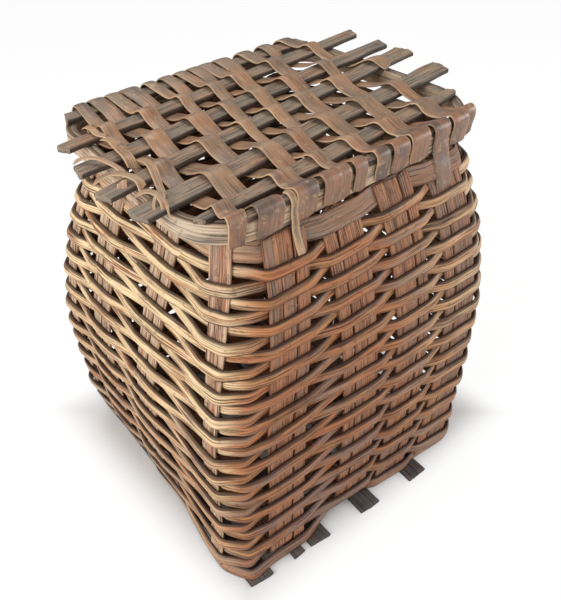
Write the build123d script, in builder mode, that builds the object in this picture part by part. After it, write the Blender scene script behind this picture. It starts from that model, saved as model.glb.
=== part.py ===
from build123d import *
import os
from math import atan2, cos, degrees, hypot, pi, radians, sin, tan

# A splint creel: flat stakes bend up from a crossed base, round weavers bind them row by row,
# and a woven lid is hinged along the front rim. X runs along the front, Y to the back, Z up.

# ---- Driving dimensions, in millimetres and degrees ----
stake_top = 282.0            # height of the stake tops, where the lid rests
base_half_length = 114.7     # plan of the wall's middle surface, half sizes along X
belly_half_length = 130.1
rim_half_length = 110.7
belly_height = 140.0
base_half_depth = 117.2      # and along Y
rim_half_depth = 86.4
base_corner_radius = 17.0
rim_corner_radius = 39.6
base_centre = (-13.9, -1.5)  # a hand-woven lean: the base stands a little left of the rim
rim_centre = (-2.9, -2.5)
base_turn = -4.7             # and the base is turned a few degrees against the rim

lower_swell = 1.12           # how sharply the wall leaves the base
upper_swell = 1.53           # and draws in above the belly
depth_swell = 4.42

stake_thickness = 1.8
wide_stake = 21.0
corner_stake = 14.0
narrow_stake = 10.0
slim_stake = 11.0
stake_gap = 1.5              # between two stakes of one pair
# Places of the pairs along a face, as shares of its half run: each at the rim and at the base.
front_places = ((-0.72, -0.61), (-0.30, -0.03), (0.19, 0.37), (0.65, 0.77))
side_places = ((-0.88, -0.84), (-0.35, -0.09), (0.38, 0.39), (0.77, 0.83))

runner_thickness = 3.0       # flat slats under the base, which the creel stands on
runner_overhang = 15.1       # past the wall, front and back
wide_runner = 20.0
narrow_runner = 11.0
runner_places = (-100.0, -64.0, -43.0, 10.0, 64.0)
runner_widths = (wide_runner, narrow_runner, wide_runner, wide_runner, wide_runner)

row_count = 29
weaver_height = 7.4
weaver_thickness = 3.0
row_crowding = 0.115         # rows lie closer together towards the rim
rows_per_band = 3            # rows kept together in one node
band_height = 13.4           # the wide flat weaver under the rim
band_thickness = 1.5
band_drop = 1.4              # of its top below the stake tops
band_room = 1.2              # between it and the highest row
base_room = 0.6              # between the base's stakes and the lowest row
weave_bend = 9.0             # radius where a weaver turns beside a stake
corner_bend = 20.0
weave_run = 1.5              # straight run past each edge of a pair of stakes

seat_clearance = 0.3         # between woven pieces that press on each other

lid_front_overhang = 1.2     # of the lid's hoop past the rim's middle
lid_back_overhang = 12.6
lid_left_overhang = (18.4, 7.4)     # at its short sides, at the front and at the back
lid_right_overhang = (20.2, 7.2)
lid_front_radii = (40.0, 50.0)      # of its corners, left and right
lid_back_radius = 28.0
hoop_thickness = 3.4         # each of two nested hoops
hoop_gap = 0.2
hoop_height = 14.7

stave_thickness = 4.0        # slats along the lid
stave_width = (7.0, 13.5, 17.5, 13.5, 14.5, 13.0, 13.0)
# The middle of each stave's ends, measured from the middle of the rim.
stave_left_end = (
    (-101.1, -84.1), (-122.1, -70.5), (-146.1, -44.0), (-150.1, -14.1),
    (-146.1, 20.0), (-138.1, 52.5), (-115.1, 89.5),
)
stave_right_end = (
    (94.9, -84.1), (121.9, -53.4), (152.9, -19.8), (156.0, 20.6),
    (154.9, 43.8), (153.9, 75.1), (107.9, 89.5),
)

strip_thickness = 1.2        # bark strips woven across the staves
strip_width = (6.0, 9.0, 12.0, 10.0, 13.0, 9.0, 10.0, 10.0, 10.0, 11.0, 13.0, 12.0, 10.0, 11.0)
# Where each strip's middle would meet the front and the back of the hoop, from the middle of the rim.
strip_front_x = (
    -116.4, -107.1, -85.1, -55.1, -35.1, -23.6, -11.1,
    8.9, 25.9, 45.9, 66.9, 86.9, 98.9, 147.0,
)
strip_back_x = (
    -107.4, -98.1, -85.6, -73.6, -59.1, -42.1, -27.1,
    -14.6, -3.1, 8.9, 23.9, 45.9, 67.9, 87.9,
)
cut_strips = {0: (3, 5), 13: (3, 6)}       # strips cut short, with the first and last stave of each
strip_bend = 1.2
strip_edge_room = 2.2        # beside a stave, where a strip dives past its edge
strip_hem = 2.6              # strip ends stop this far above the hoop's lower edge
strip_tail = 3.0             # of a cut strip past its first or last stave
hinge_strip = 10             # the strip that runs on over the rim as a hinge
thong_x = -66.1              # the second hinge is a narrow thong, this far along the rim
thong_width = 6.0
thong_reach = 6.5            # of the thong back over the lid
thong_room = 0.8             # between it and the stake that it lies on, which stands askew

hinge_bead = 1.3             # radius of the fold at the hinge line
hinge_lift = 0.7             # of the hinge line above the stake tops
tail_clearance = 1.2         # of a hinge tail above the highest row it reaches


# ---- The wall's shape ----
def half_length(z):
    if z < belly_height:
        rise = ((belly_height - z) / belly_height) ** lower_swell
        return belly_half_length - (belly_half_length - base_half_length) * rise
    rise = ((z - belly_height) / (stake_top - belly_height)) ** upper_swell
    return belly_half_length - (belly_half_length - rim_half_length) * rise


def half_depth(z):
    return base_half_depth - (base_half_depth - rim_half_depth) * (z / stake_top) ** depth_swell


def corner_radius(z):
    return base_corner_radius + (rim_corner_radius - base_corner_radius) * (z / stake_top) ** 2


def half_run(face, z):
    """Length of a wall from its middle to the middle of a rounded corner."""
    along = half_depth(z) if face % 2 else half_length(z)
    return along - corner_radius(z) * (1 - pi / 4)


def wall_frame(face, share, z, nudge=0.0):
    """Place on the wall's middle surface: a point and its tangent and outward directions."""
    along, out = half_length(z), half_depth(z)
    if face % 2:
        along, out = out, along
    radius = corner_radius(z)
    flat = along - radius
    run = share * half_run(face, z)
    side = 1.0 if run >= 0 else -1.0
    bend = max(0.0, abs(run) - flat) / radius
    u = side * (min(abs(run), flat) + radius * sin(bend))
    v = out - radius + radius * cos(bend)
    rise = 1 - z / stake_top
    lean = [r + (b - r) * rise for b, r in zip(base_centre, rim_centre)]
    turn = radians(90 * face + base_turn * rise)
    centre = Vector(lean[0], lean[1], z)
    middle = centre + Vector(u, -v, 0).rotate(Axis.Z, degrees(turn))
    tangent = Vector(1, 0, 0).rotate(Axis.Z, degrees(turn + side * bend))
    outward = Vector(0, -1, 0).rotate(Axis.Z, degrees(turn + side * bend))
    return middle + tangent * nudge, tangent, outward


# ---- Stakes: each runs up one wall, under the base, and up the opposite wall ----
pair = (wide_stake, narrow_stake)
slim_pair = (slim_stake, narrow_stake)
front_pairs = (pair, pair[::-1], pair, pair[::-1])
side_pairs = ((corner_stake,), slim_pair[::-1], slim_pair, (slim_stake,))


def share_at(place, z):
    """Share of the half run where a pair stands at a height: most of its lean is low down."""
    rim, base = place
    return base + (rim - base) * (z / stake_top) ** 2


def pair_width(widths):
    return sum(widths) + stake_gap * (len(widths) - 1)


def stake_nudges(widths):
    """Middle of each stake of a pair, along the wall from the pair's middle."""
    nudges, edge = [], -pair_width(widths) / 2
    for width in widths:
        nudges.append(edge + width / 2)
        edge += width + stake_gap
    return nudges


def wall_faces():
    """The stake pairs of all four walls in order round the creel: face, place, widths."""
    pairs = []
    for face in range(4):
        places = side_places if face % 2 else front_places
        widths = side_pairs if face % 2 else front_pairs
        if face > 1:
            places = [(-rim, -base) for rim, base in places[::-1]]
            widths = [w[::-1] for w in widths[::-1]]
        pairs += [(face, place, w) for place, w in zip(places, widths)]
    return pairs


side_layer = runner_thickness                       # the base's lower layer runs along X
front_layer = side_layer + stake_thickness          # and its upper layer along Y
base_top = front_layer + stake_thickness
section_count = 13


def make_stake(face, place, nudge, width):
    bottom = side_layer if face % 2 else front_layer
    heights = [bottom + (stake_top - bottom) * i / (section_count - 1) for i in range(section_count)]
    foot, tangent, _ = wall_frame(face, share_at(place, bottom), bottom, nudge)
    far_foot, _, _ = wall_frame(face + 2, -share_at(place, bottom), bottom, -nudge)
    with BuildPart() as stake:
        for side, sign in ((face, 1), (face + 2, -1)):
            for z in heights:
                spot, along, _ = wall_frame(side, sign * share_at(place, z), z, sign * nudge)
                with BuildSketch(Plane(origin=spot, x_dir=along, z_dir=(0, 0, 1))):
                    Rectangle(width, stake_thickness)
            loft()
        middle = (foot + far_foot) / 2
        with BuildSketch(Plane(origin=middle, x_dir=tangent, z_dir=(0, 0, 1))):
            Rectangle(width, (far_foot - foot).length + stake_thickness)
        extrude(amount=stake_thickness)
    return stake.part


# ---- Weavers: closed rows that pass outside and inside the stakes in turn ----
def row_points(z, phase, offset):
    """Corner points of a row's path at one height, with the bend radius at each."""
    points, bends = [], []
    pairs = wall_faces()
    for index, (face, place, widths) in enumerate(pairs):
        side = 1 if (index + phase) % 2 == 0 else -1
        middle, tangent, outward = wall_frame(face, share_at(place, z), z)
        half = pair_width(widths) / 2 + weave_run
        for end in (-half, half):
            points.append(middle + tangent * end + outward * (side * offset[0] + offset[1]))
            bends.append(weave_bend)
        if index % 4 == 3:
            next_face, next_place, next_widths = pairs[(index + 1) % len(pairs)]
            behind = (1 - share_at(place, z)) * half_run(face, z) - pair_width(widths) / 2
            ahead = (1 + share_at(next_place, z)) * half_run(next_face, z) - pair_width(next_widths) / 2
            turn_point, _, away = wall_frame(face, 1 + (ahead - behind) / 2 / half_run(face, z), z)
            points.append(turn_point + away * offset[1])
            bends.append(corner_bend)
    return points, bends


def closed_path(points, bends):
    """A closed line with rounded corners, each as round as its two runs allow."""
    count = len(points)
    radii = []
    for i, point in enumerate(points):
        back = points[i - 1] - point
        ahead = points[(i + 1) % count] - point
        turn = pi - radians(back.get_angle(ahead))
        reach = 0.45 * min(back.length, ahead.length) / max(tan(turn / 2), 1e-3)
        radii.append(min(bends[i], reach))
    return FilletPolyline(*points, radius=radii, close=True)


def make_row(bottom, height, thickness, phase):
    swing = stake_thickness / 2 + seat_clearance + thickness / 2
    with BuildPart() as row:
        for side, mode in ((1, Mode.ADD), (-1, Mode.SUBTRACT)):
            for z in (bottom, bottom + height):
                points, bends = row_points(z, phase, (swing, side * thickness / 2))
                with BuildSketch(Plane.XY.offset(z)):
                    with BuildLine():
                        closed_path([Vector(p.X, p.Y, 0) for p in points], bends)
                    make_face()
            loft(ruled=True, mode=mode)
    return row.part


band_bottom = stake_top - band_drop - band_height
lowest_row = base_top + base_room + weaver_height / 2
highest_row = band_bottom - band_room - weaver_height / 2


def row_middle(index):
    share = index / (row_count - 1)
    eased = share + row_crowding * share * (1 - share)
    return lowest_row + (highest_row - lowest_row) * eased


# ---- Lid ----
lid_bottom = stake_top + seat_clearance
hoop_top = lid_bottom + hoop_height
stave_top = hoop_top + stave_thickness
lid_front = rim_centre[1] - rim_half_depth - lid_front_overhang
lid_back = rim_centre[1] + rim_half_depth + lid_back_overhang
lid_left = [rim_centre[0] - rim_half_length - overhang for overhang in lid_left_overhang]
lid_right = [rim_centre[0] + rim_half_length + overhang for overhang in lid_right_overhang]


def hoop_outline(inset):
    """The hoop's outline in plan, drawn in by some inset."""
    corners = [(lid_left[0], lid_front), (lid_right[0], lid_front)]
    corners += [(lid_right[1], lid_back), (lid_left[1], lid_back)]
    with BuildSketch() as outline:
        with BuildLine():
            FilletPolyline(*corners, radius=[*lid_front_radii, lid_back_radius, lid_back_radius], close=True)
        make_face()
        if inset:
            offset(amount=-inset, mode=Mode.REPLACE)
    return outline.sketch


def make_hoop(outer_inset):
    with BuildPart() as hoop:
        with BuildSketch(Plane.XY.offset(lid_bottom)):
            add(hoop_outline(outer_inset))
            add(hoop_outline(outer_inset + hoop_thickness), mode=Mode.SUBTRACT)
        extrude(amount=hoop_height)
    return hoop.part


def stave_end(ends, index, z):
    return Vector(rim_centre[0] + ends[index][0], rim_centre[1] + ends[index][1], z)


def make_stave(index):
    start = stave_end(stave_left_end, index, hoop_top)
    end = stave_end(stave_right_end, index, hoop_top)
    with BuildPart() as stave:
        with BuildSketch(Plane(origin=(start + end) / 2, x_dir=end - start, z_dir=(0, 0, 1))):
            Rectangle((end - start).length, stave_width[index])
        extrude(amount=stave_thickness)
    return stave.part


strip_rise = strip_thickness / 2 + seat_clearance
over_level = stave_top + strip_rise
under_level = hoop_top - strip_rise
front_face = lid_front - strip_rise
back_face = lid_back + strip_rise
hinge_y = rim_centre[1] - rim_half_depth - stake_thickness / 2 - seat_clearance
hinge_y -= band_thickness + seat_clearance + strip_thickness / 2
hinge_z = stake_top + hinge_lift
hem = lid_bottom + strip_hem
hinge_start = [(hinge_y, hinge_z + hinge_bead + seat_clearance)]
hinge_start.append((front_face, hinge_z + hinge_bead + strip_hem))


def strip_lean(index):
    """Sideways run of a strip for each millimetre towards the back."""
    return (strip_back_x[index] - strip_front_x[index]) / (lid_back - lid_front)


def strip_x(index, y):
    return rim_centre[0] + strip_front_x[index] + strip_lean(index) * (y - lid_front)


def crossing(index, stave):
    """Front and back edge of a stave, in y, where the middle of a strip crosses it."""
    start = stave_end(stave_left_end, stave, 0)
    end = stave_end(stave_right_end, stave, 0)
    slope = (end.Y - start.Y) / (end.X - start.X)
    y = start.Y + slope * (strip_x(index, 0) - start.X)
    y /= 1 - slope * strip_lean(index)
    return y - stave_width[stave] / 2, y + stave_width[stave] / 2


def bark(points, x, lean, width):
    """A strip of bark along points (y, z), leaning sideways from its x at y = 0."""
    along = hypot(1, lean)
    with BuildPart() as strip:
        with BuildSketch(Plane(origin=(x - width / 2, 0, 0), x_dir=(lean, 1, 0), z_dir=(1, -lean, 0))):
            with BuildLine():
                FilletPolyline(*[(y * along, z) for y, z in points], radius=strip_bend)
            trace(line_width=strip_thickness)
        extrude(amount=width, dir=(1, 0, 0))
    return strip.part


def make_strip(index):
    first, last = cut_strips.get(index, (0, len(stave_width) - 1))
    edges = [crossing(index, stave) for stave in range(first, last + 1)]
    points = []
    for count, (low, high) in enumerate(edges):
        stave = first + count
        over = stave in (0, len(stave_width) - 1) or (stave + index) % 2 == 0
        level = over_level if over else under_level
        before = after = strip_edge_room
        if count > 0:
            before = min(strip_edge_room, (low - edges[count - 1][1]) / 2 - 0.4)
        if count < len(edges) - 1:
            after = min(strip_edge_room, (edges[count + 1][0] - high) / 2 - 0.4)
        if points and points[-1][1] == level:
            points[-1] = (high + after, level)
        else:
            points += [(low - before, level), (high + after, level)]
    if index in cut_strips:
        points[0] = (edges[0][0] - strip_tail, points[0][1])
    else:
        points[0] = (front_face, over_level)
        points.insert(0, (front_face, hem))
    if index == hinge_strip:
        points[:1] = hinge_start
    if last == len(stave_width) - 1:
        points[-1] = (back_face, over_level)
        points.append((back_face, hem))
    return bark(points, strip_x(index, 0), strip_lean(index), strip_width[index])


def make_thong():
    """The narrow upper half of the left hinge."""
    points = hinge_start + [(front_face, over_level), (lid_front + thong_reach, over_level)]
    return bark(points, rim_centre[0] + thong_x, 0.0, thong_width)


def make_hinge_tail(x, width, room):
    """The part of a hinge strip below the hinge line, flat against the wall at some room from it."""
    low = row_middle(row_count - 1) + weaver_height / 2 + tail_clearance
    stand_off = stake_thickness / 2 + room + strip_thickness / 2
    share = (x - rim_centre[0]) / half_run(0, low)
    points = []
    for z in (low, (low + band_bottom + band_height) / 2, band_bottom + band_height):
        spot, _, outward = wall_frame(0, share, z)
        points.append(((spot + outward * stand_off).Y, z))
    points.append((hinge_y, hinge_z))
    with BuildPart() as tail:
        with BuildSketch(Plane.YZ.offset(x - width / 2)):
            with BuildLine():
                Polyline(*points)
            trace(line_width=strip_thickness)
            with Locations((hinge_y, hinge_z)):
                Circle(hinge_bead)
        extrude(amount=width)
    return tail.part


# ---- Runners under the base ----
def make_runner(place, width):
    with BuildPart() as runner:
        with BuildSketch(Plane(origin=(*base_centre, 0), x_dir=Vector(1, 0, 0).rotate(Axis.Z, base_turn))):
            with Locations((place, 0)):
                Rectangle(width, 2 * (base_half_depth + runner_overhang))
        extrude(amount=runner_thickness)
    return runner.part


# ---- Write every piece ----
os.makedirs("parts", exist_ok=True)


def write(name, part):
    part.label = name
    export_step(part, "parts/" + name + ".step")


for index, (place, width) in enumerate(zip(runner_places, runner_widths)):
    write(f"base_runner_{index + 1}", make_runner(place, width))

stake_number = {0: 0, 1: 0}
for face, place, widths in wall_faces()[:8]:
    for nudge, width in zip(stake_nudges(widths), widths):
        stake_number[face] += 1
        kind = "side" if face % 2 else "front"
        write(f"{kind}_stake_{stake_number[face]}", make_stake(face, place, nudge, width))

for first in range(0, row_count, rows_per_band):
    rows = []
    for index in range(first, min(first + rows_per_band, row_count)):
        bottom = row_middle(index) - weaver_height / 2
        rows.append(make_row(bottom, weaver_height, weaver_thickness, (row_count - 1 - index) % 2))
    write(f"weaver_rows_{first // rows_per_band + 1}", Compound(children=rows))
write("rim_band", make_row(band_bottom, band_height, band_thickness, 1))

write("lid_hoop_outer", make_hoop(0.0))
write("lid_hoop_inner", make_hoop(hoop_thickness + hoop_gap))
for index in range(len(stave_width)):
    write(f"lid_stave_{index + 1}", make_stave(index))
for index in range(len(strip_width)):
    write(f"lid_strip_{index + 1}", make_strip(index))
write("lid_thong", make_thong())
write("hinge_tail_1", make_hinge_tail(rim_centre[0] + thong_x, thong_width, thong_room))
over_band = band_thickness + 2 * seat_clearance
write("hinge_tail_2", make_hinge_tail(strip_x(hinge_strip, lid_front), strip_width[hinge_strip], over_band))
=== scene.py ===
import bpy
import numpy as np
from math import cos, pi, radians, sin
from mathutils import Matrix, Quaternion, Vector


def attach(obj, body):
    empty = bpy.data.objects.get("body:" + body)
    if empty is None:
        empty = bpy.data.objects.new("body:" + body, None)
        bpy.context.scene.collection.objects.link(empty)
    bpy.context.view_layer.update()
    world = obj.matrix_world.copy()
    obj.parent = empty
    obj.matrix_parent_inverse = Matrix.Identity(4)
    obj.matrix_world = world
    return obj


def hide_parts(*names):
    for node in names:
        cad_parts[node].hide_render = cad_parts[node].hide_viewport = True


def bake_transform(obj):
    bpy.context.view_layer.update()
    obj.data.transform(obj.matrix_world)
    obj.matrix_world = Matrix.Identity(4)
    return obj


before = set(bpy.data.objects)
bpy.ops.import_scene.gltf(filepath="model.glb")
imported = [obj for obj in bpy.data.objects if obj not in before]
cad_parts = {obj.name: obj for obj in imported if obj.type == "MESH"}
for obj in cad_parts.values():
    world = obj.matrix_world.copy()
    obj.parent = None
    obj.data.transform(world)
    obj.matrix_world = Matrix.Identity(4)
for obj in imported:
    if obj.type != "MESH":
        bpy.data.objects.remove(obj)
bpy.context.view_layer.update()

# ---- Slats under the base ----
# Five dark flat slats cross under the base from front to back and lift the creel off the ground.
# They are thick, dry, weathered wood, woven in before the wall was begun, and their ends are
# left standing a finger's breadth past the wall, split and worn.
mm = 0.001


class Value:
    """A socket of a finish. Sums written with it add Math nodes."""

    def __init__(self, finish, socket):
        self.finish, self.socket = finish, socket

    def math(self, operation, first, second):
        return self.finish.node("ShaderNodeMath", {"operation": operation}, {0: first, 1: second})

    def __add__(self, other):
        return self.math("ADD", self, other)

    def __radd__(self, other):
        return self.math("ADD", other, self)

    def __sub__(self, other):
        return self.math("SUBTRACT", self, other)

    def __rsub__(self, other):
        return self.math("SUBTRACT", other, self)

    def __mul__(self, other):
        return self.math("MULTIPLY", self, other)

    def __rmul__(self, other):
        return self.math("MULTIPLY", other, self)


class Finish:
    """The nodes of a material, or of the room round the creel."""

    def __init__(self, owner):
        self.owner = owner
        owner.use_nodes = True
        self.tree = owner.node_tree
        self.tree.nodes.clear()

    def node(self, kind, settings=None, sockets=None, output=0):
        """Adds a node: its settings first, then the numbers or links of its sockets."""
        made = self.tree.nodes.new(kind)
        for key, setting in (settings or {}).items():
            setattr(made, key, setting)
        for key, given in (sockets or {}).items():
            if isinstance(given, Value):
                self.tree.links.new(given.socket, made.inputs[key])
            else:
                made.inputs[key].default_value = given
        return Value(self, made.outputs[output]) if len(made.outputs) else made

    def mix(self, share, first, second):
        """The first colour where share is 0 and the second where it is 1."""
        first, second = (c if isinstance(c, Value) else (*c, 1.0) for c in (first, second))
        return self.node("ShaderNodeMix", {"data_type": "RGBA"}, {0: share, 6: first, 7: second}, 2)

    def step(self, value, low, high):
        """A soft step: 0 below low and 1 above high."""
        sockets = {"Value": value, "From Min": low, "From Max": high}
        return self.node("ShaderNodeMapRange", {"interpolation_type": "SMOOTHSTEP"}, sockets)

    def grain(self, lengthways, crossways, detail=3.0, shift=0.0):
        """Random streaks that follow the strand, with so many to the metre each way."""
        place = self.node("ShaderNodeAttribute", {"attribute_name": "grain"}, output=1)
        scaled = self.node("ShaderNodeVectorMath", {"operation": "MULTIPLY_ADD"},
                           {0: place, 1: (lengthways, crossways, 1.0), 2: (shift,) * 3})
        return self.node("ShaderNodeTexNoise", None,
                         {"Vector": scaled, "Scale": 1.0, "Detail": detail, "Roughness": 0.6})


def splint_finish(name, pale, deep, ruddy, grey, bark, bleached_and_lit, streak_width=1.2 * mm, gloss=0.0,
                  contrast=1.0, crack_depth=1.0, patches=(15.0, 120.0), shine=0.35):
    """Split wood: fibres along the strand, reddish and grey lengths, fine cracks, dark bark edges that
    are partly painted shade, and bleached places that partly paint in light. Patches says how many
    patches of colour there are to the metre, along a strand and across it."""
    finish = Finish(bpy.data.materials.new(name))
    wear_light_and_shade = finish.node("ShaderNodeAttribute", {"attribute_name": "wear_light_and_shade"}, output=1)
    bleach_and_light, edge, age = (finish.node("ShaderNodeSeparateXYZ", None, {0: wear_light_and_shade}, axis)
                         for axis in range(3))
    fibres = finish.grain(28.0, 1.0 / streak_width, 4.0)
    fine = finish.grain(90.0, 3.4 / streak_width, 3.0, 7.0)
    warm = finish.grain(*patches, 3.0, 19.0)
    dull = finish.grain(*patches, 3.0, 31.0)
    fade = finish.grain(*patches, 3.0, 57.0)
    split = finish.grain(13.0, 0.8 / streak_width, 3.0, 43.0)
    hair = finish.grain(24.0, 2.2 / streak_width, 2.0, 71.0)
    spots = finish.grain(210.0, 260.0, 2.0, 83.0)
    crack = finish.step(split, 0.41, 0.34)
    line = finish.step(hair, 0.44, 0.34)
    streak = finish.step(fibres, 0.38, 0.62)
    thread = finish.step(fine, 0.36, 0.66)
    body = finish.mix(contrast * (0.6 * streak + 0.4 * thread), deep, pale)
    body = finish.mix(0.7 * finish.step(warm + 0.2 * streak, 0.52, 0.70), body, ruddy)
    body = finish.mix(0.8 * finish.step(dull + 0.12 * thread + 0.18 * age, 0.61, 0.76), body, grey)
    # Bleached places; on the left wall this bleaching also paints in light from the key lamp.
    body = finish.mix(bleach_and_light * finish.step(fade + 0.3 * streak, 0.38, 0.78), body, bleached_and_lit)
    body = finish.mix(0.6 * crack_depth * line, body, bark)
    body = finish.mix(0.35 * finish.step(spots, 0.60, 0.70), body, bark)
    body = finish.mix(0.85 * crack_depth * crack, body, bark)
    # Dark edges: partly bark, and partly painted shade where strands meet.
    body = finish.mix(0.85 * finish.step(edge + 0.3 * fibres, 0.30, 0.95), body, bark)
    rise = 0.6 * fibres + 0.3 * fine - 0.4 * line - 0.8 * crack_depth * crack
    dent = finish.node("ShaderNodeBump", None,
                       {"Strength": 0.55 * contrast, "Distance": 0.5 * mm, "Height": rise})
    shader = finish.node("ShaderNodeBsdfPrincipled", None, {
        "Base Color": body,
        "Roughness": 0.62 - gloss + 0.18 * fine + 0.12 * crack,
        "Specular IOR Level": shine,
        "Normal": dent,
    })
    finish.node("ShaderNodeOutputMaterial", None, {"Surface": shader})
    return finish.owner


def wander(place, span, seed):
    """Smooth random waves along a strand, from about -1 to 1, some span long."""
    dice = np.random.default_rng(seed)
    waves = [np.sin(2 * pi * (place / (span * stretch) + dice.random()))
             for stretch in (0.7, 1.3, 2.3)]
    return sum(waves) / 1.7


def unit(vectors):
    return vectors / np.linalg.norm(vectors, axis=-1, keepdims=True)


def walked_along(line):
    """How far along a line each of its points lies."""
    return np.concatenate([[0], np.cumsum(np.linalg.norm(np.diff(line, axis=0), axis=1))])


def smooth_line(knots, step):
    """Points every step along a smooth line that follows the knots."""
    knots = np.array(knots, float)
    reach = walked_along(knots)
    slopes = np.gradient(knots, reach, axis=0)
    fine = np.linspace(0, reach[-1], 12 * len(knots))
    index = np.clip(np.searchsorted(reach, fine, side="right") - 1, 0, len(knots) - 2)
    span = np.diff(reach)[index][:, None]
    t = (fine[:, None] - reach[index][:, None]) / span
    line = ((1 + 2 * t) * (1 - t) ** 2 * knots[index] + t * (1 - t) ** 2 * span * slopes[index]
            + t ** 2 * (3 - 2 * t) * knots[index + 1] - t ** 2 * (1 - t) * span * slopes[index + 1])
    walked = walked_along(line)
    even = np.linspace(0, walked[-1], max(3, int(walked[-1] / step) + 1))
    line = np.stack([np.interp(even, walked, line[:, axis]) for axis in range(3)], axis=1)
    longer = np.concatenate([2 * line[:1] - line[2:0:-1], line, 2 * line[-1:] - line[-2:-4:-1]])
    softening = (0.1, 0.24, 0.32, 0.24, 0.1)
    return sum(share * longer[shift:shift + len(line)] for shift, share in enumerate(softening))


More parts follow.
